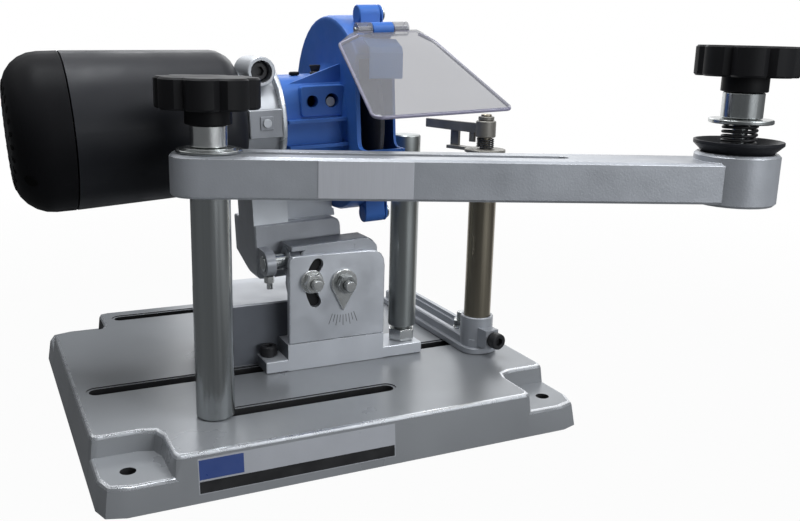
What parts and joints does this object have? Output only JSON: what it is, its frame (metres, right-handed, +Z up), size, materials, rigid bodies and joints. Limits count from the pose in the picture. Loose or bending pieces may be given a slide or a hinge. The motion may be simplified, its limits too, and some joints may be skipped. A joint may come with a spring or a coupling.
{
  "type": "saw blade sharpener",
  "caption": "Bench sharpener for circular saw blades: slotted base plate, swinging blade arm, tilting motor head with guarded grinding wheel and a sprung tooth stop.",
  "frame": {"origin": "middle of the bounding box, at the underside of the base plate", "axes": "+X from the motor towards the blade holder, along the long side of the base; +Y from the front of the base to its back; +Z up"},
  "size_m": [0.4562, 0.415, 0.3007],
  "materials": {
    "plate_casting": "satin silver enamel on cast iron",
    "silver_casting": "satin silver enamel",
    "zinc": "bright zinc plate",
    "steel": "bare steel",
    "bronze_steel": "browned steel",
    "dark_steel": "blackened steel",
    "black_plastic": "fine grain",
    "black_enamel": "semi-gloss enamel",
    "blue_enamel": "gloss enamel",
    "clear_plastic": "clear with a faint tint",
    "abrasive": "resin-bonded grit",
    "winding": "varnished copper winding"
  },
  "bodies": {
    "base": {"base_plate": "plate_casting"},
    "post": {"front_post": "zinc", "post_nut": "zinc", "arm_sleeve": "zinc"},
    "arm_knob_body": {"arm_knob": "black_plastic"},
    "arm_guide": {"clamp_washer": "zinc"},
    "arm": {"arm_bar": "silver_casting", "blade_spindle": "zinc", "blade_washer": "zinc", "blade_sleeve": "zinc", "blade_spring": "dark_steel"},
    "cone": {"centring_cone": "black_enamel"},
    "blade_knob_body": {"blade_knob": "black_plastic"},
    "head_base": {"base_block": "silver_casting", "angle_plate": "silver_casting", "block_screw": "dark_steel", "block_nut": "zinc", "support_post": "zinc", "support_nut": "zinc", "support_slot_nut": "zinc"},
    "tilt": {"tilt_block": "silver_casting", "pivot_bolt": "zinc", "pivot_nut": "zinc", "tilt_pointer": "zinc", "arc_stud": "zinc", "arc_nut": "zinc", "arc_washer": "zinc"},
    "rocker": {"head_bracket": "silver_casting", "rock_shaft": "zinc", "lock_bolt": "zinc", "motor_barrel": "black_enamel", "motor_end_cap": "black_enamel", "motor_stator": "winding", "bearing_rear": "steel", "bearing_front": "steel", "head_collar": "silver_casting", "collar_screw": "dark_steel", "guard_housing": "blue_enamel", "guard_cover": "blue_enamel", "guard_screw_top": "zinc", "guard_screw_bottom": "zinc", "neck_plug": "black_plastic", "thumb_screw": "dark_steel", "shield_pin": "zinc"},
    "wheel": {"motor_shaft": "steel", "motor_rotor": "steel", "grinding_wheel": "abrasive", "wheel_flange": "steel", "wheel_nut": "zinc"},
    "shield_body": {"shield": "clear_plastic"},
    "stop_carriage": {"stop_bolt": "zinc"},
    "stop_swivel": {"stop_nut": "zinc"},
    "stop_slide_body": {"stop_slide": "silver_casting", "clamp_screw": "dark_steel"},
    "stop_post_body": {"stop_post": "bronze_steel", "finger_nut": "bronze_steel"},
    "finger_carrier_body": {"finger_carrier": "bronze_steel", "finger_spring": "dark_steel"},
    "finger_body": {"stop_finger": "bronze_steel"}
  },
  "joints": [
    {"name": "post_slide", "type": "slide", "parent": "base", "child": "post", "axis": [1, 0, 0], "range_m": [-0.003, 0.04]},
    {"name": "arm_knob_turn", "type": "hinge", "parent": "post", "child": "arm_knob_body", "pos_m": [-0.11767, -0.05252, 0], "axis": [0, 0, 1], "continuous": true},
    {"name": "arm_swing", "type": "hinge", "parent": "post", "child": "arm_guide", "pos_m": [-0.11767, -0.05252, 0], "axis": [0, 0, 1], "range_deg": [-80, 8]},
    {"name": "arm_slide", "type": "slide", "parent": "arm_guide", "child": "arm", "axis": [0.9311, -0.3649, 0], "range_m": [-0.018, 0]},
    {"name": "cone_lift", "type": "slide", "parent": "arm", "child": "cone", "axis": [0, 0, 1], "range_m": [0, 0.004], "stiffness_N_per_m": 600, "springref_m": -0.004, "deforming": ["blade_spring"]},
    {"name": "blade_knob_turn", "type": "hinge", "parent": "arm", "child": "blade_knob_body", "pos_m": [0.1961, -0.17549, 0], "axis": [0, 0, 1], "continuous": true},
    {"name": "head_slide", "type": "slide", "parent": "base", "child": "head_base", "axis": [1, 0, 0], "range_m": [-0.05, 0.02]},
    {"name": "head_tilt", "type": "hinge", "parent": "head_base", "child": "tilt", "pos_m": [-0.00367, 0.05048, 0.0975], "axis": [0, 1, 0], "range_deg": [-12, 5.5]},
    {"name": "head_rock", "type": "hinge", "parent": "tilt", "child": "rocker", "pos_m": [-0.02952, 0.02048, 0.11426], "axis": [0.9988, 0, 0.0489], "range_deg": [-10, 8]},
    {"name": "wheel_spin", "type": "hinge", "parent": "rocker", "child": "wheel", "pos_m": [0.01675, 0.04548, 0.22034], "axis": [0.9988, 0, 0.0489], "continuous": true},
    {"name": "shield_hinge", "type": "hinge", "parent": "rocker", "child": "shield_body", "pos_m": [0.0137, -0.00902, 0.28277], "axis": [0.9988, 0, 0.0489], "range_deg": [-70, 0]},
    {"name": "stop_cross_slide", "type": "slide", "parent": "base", "child": "stop_carriage", "axis": [1, 0, 0], "range_m": [-0.02, 0.006]},
    {"name": "stop_turn", "type": "hinge", "parent": "stop_carriage", "child": "stop_swivel", "pos_m": [0.11083, 0.01848, 0], "axis": [0, 0, 1], "range_deg": [-12, 12]},
    {"name": "stop_reach", "type": "slide", "parent": "stop_swivel", "child": "stop_slide_body", "axis": [0, 1, 0], "range_m": [-0.06, 0.002]},
    {"name": "stop_height", "type": "slide", "parent": "stop_slide_body", "child": "stop_post_body", "axis": [0, 0, 1], "range_m": [0, 0.02]},
    {"name": "finger_swing", "type": "hinge", "parent": "stop_post_body", "child": "finger_carrier_body", "pos_m": [0.11083, -0.00452, 0], "axis": [0, 0, 1], "range_deg": [-30, 40]},
    {"name": "finger_yield", "type": "hinge", "parent": "finger_carrier_body", "child": "finger_body", "pos_m": [0.11083, -0.00452, 0], "axis": [0, 0, 1], "range_deg": [0, 35], "stiffness_Nm_per_rad": 0.03, "springref_deg": -28.65}
  ]
}
